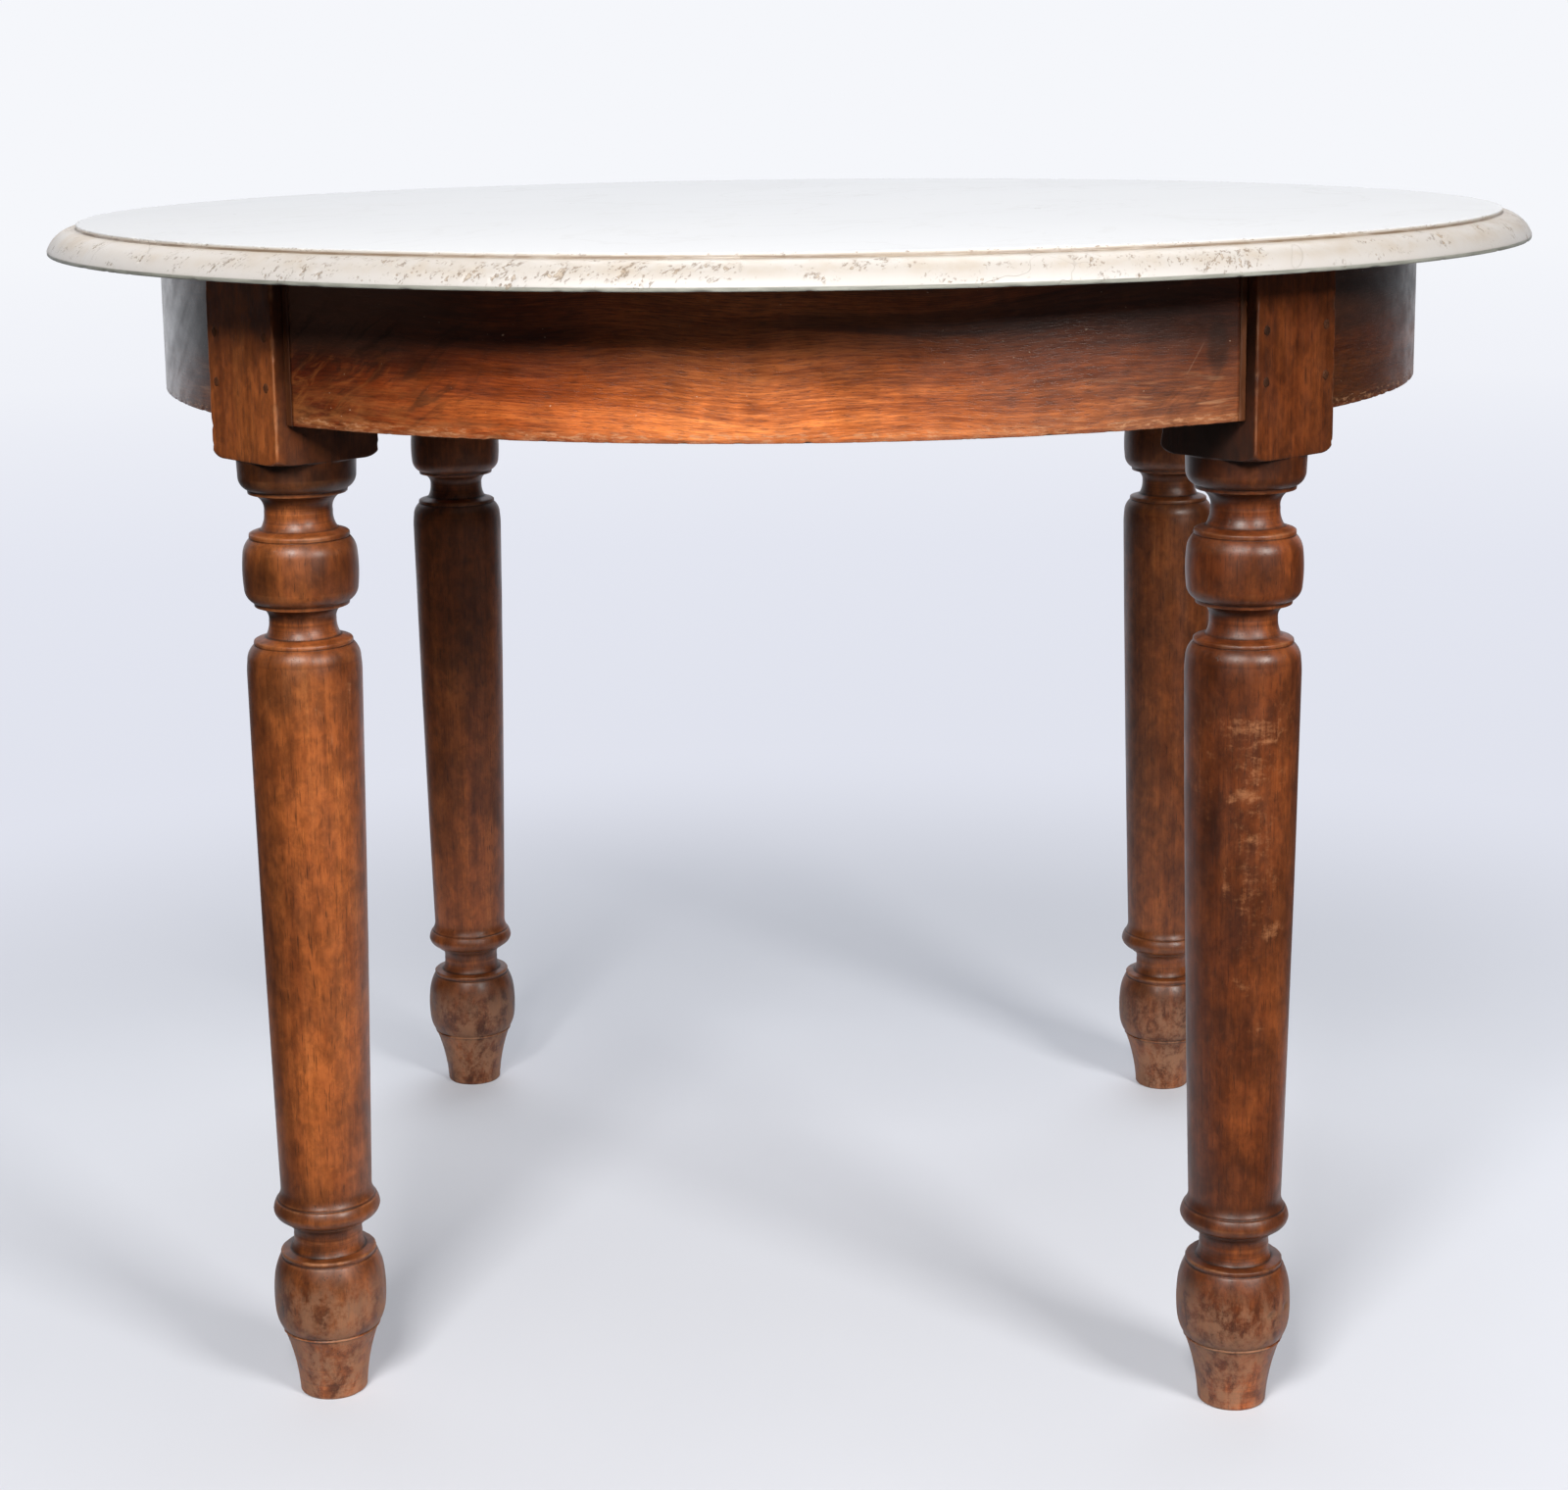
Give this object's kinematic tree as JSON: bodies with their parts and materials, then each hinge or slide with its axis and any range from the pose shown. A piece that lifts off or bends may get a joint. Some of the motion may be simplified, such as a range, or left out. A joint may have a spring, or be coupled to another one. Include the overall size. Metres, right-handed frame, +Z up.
{
  "type": "round marble top table",
  "caption": "Round dining table: a loose marble slab with a moulded edge on a pegged frame of turned legs and curved aprons.",
  "frame": {"origin": "on the floor, under the centre of the round top", "axes": "+Z up; the front apron faces -Y and the legs stand on the diagonals between X and Y"},
  "size_m": [1.0329, 1.033, 0.762],
  "materials": {
    "marble": "worn polish, cream white with tan pits and fine grey streaks",
    "leg_wood": "worn semi-gloss polish, red-brown, dark in the recesses",
    "apron_veneer": "figured veneer, semi-gloss polish, worn pale along the lower edge",
    "end_strip": "polished strip, worn at its arrises",
    "peg_wood": "dark end grain",
    "core_wood": "unpolished, aged brown secondary wood",
    "screw_steel": "dull, darkened",
    "cork": "cork, matte"
  },
  "bodies": {
    "frame": {"leg_front_left": "leg_wood", "leg_front_right": "leg_wood", "leg_back_right": "leg_wood", "leg_back_left": "leg_wood", "apron_core_front": "core_wood", "apron_core_right": "core_wood", "apron_core_back": "core_wood", "apron_core_left": "core_wood", "apron_veneer_front": "apron_veneer", "apron_veneer_right": "apron_veneer", "apron_veneer_back": "apron_veneer", "apron_veneer_left": "apron_veneer", "apron_end_strips": "end_strip", "drawbore_pegs": "peg_wood", "glue_block_front_left_a": "core_wood", "glue_block_front_left_b": "core_wood", "glue_block_front_right_a": "core_wood", "glue_block_front_right_b": "core_wood", "glue_block_back_right_a": "core_wood", "glue_block_back_right_b": "core_wood", "glue_block_back_left_a": "core_wood", "glue_block_back_left_b": "core_wood", "bearer_side_to_side": "core_wood", "bearer_front_to_back": "core_wood", "bearer_screws": "screw_steel", "top_pads": "cork"},
    "top": {"marble_top": "marble"}
  },
  "joints": [
    {"name": "top_lift", "type": "slide", "parent": "frame", "child": "top", "axis": [0, 0, 1], "range_m": [0, 0.15]}
  ]
}
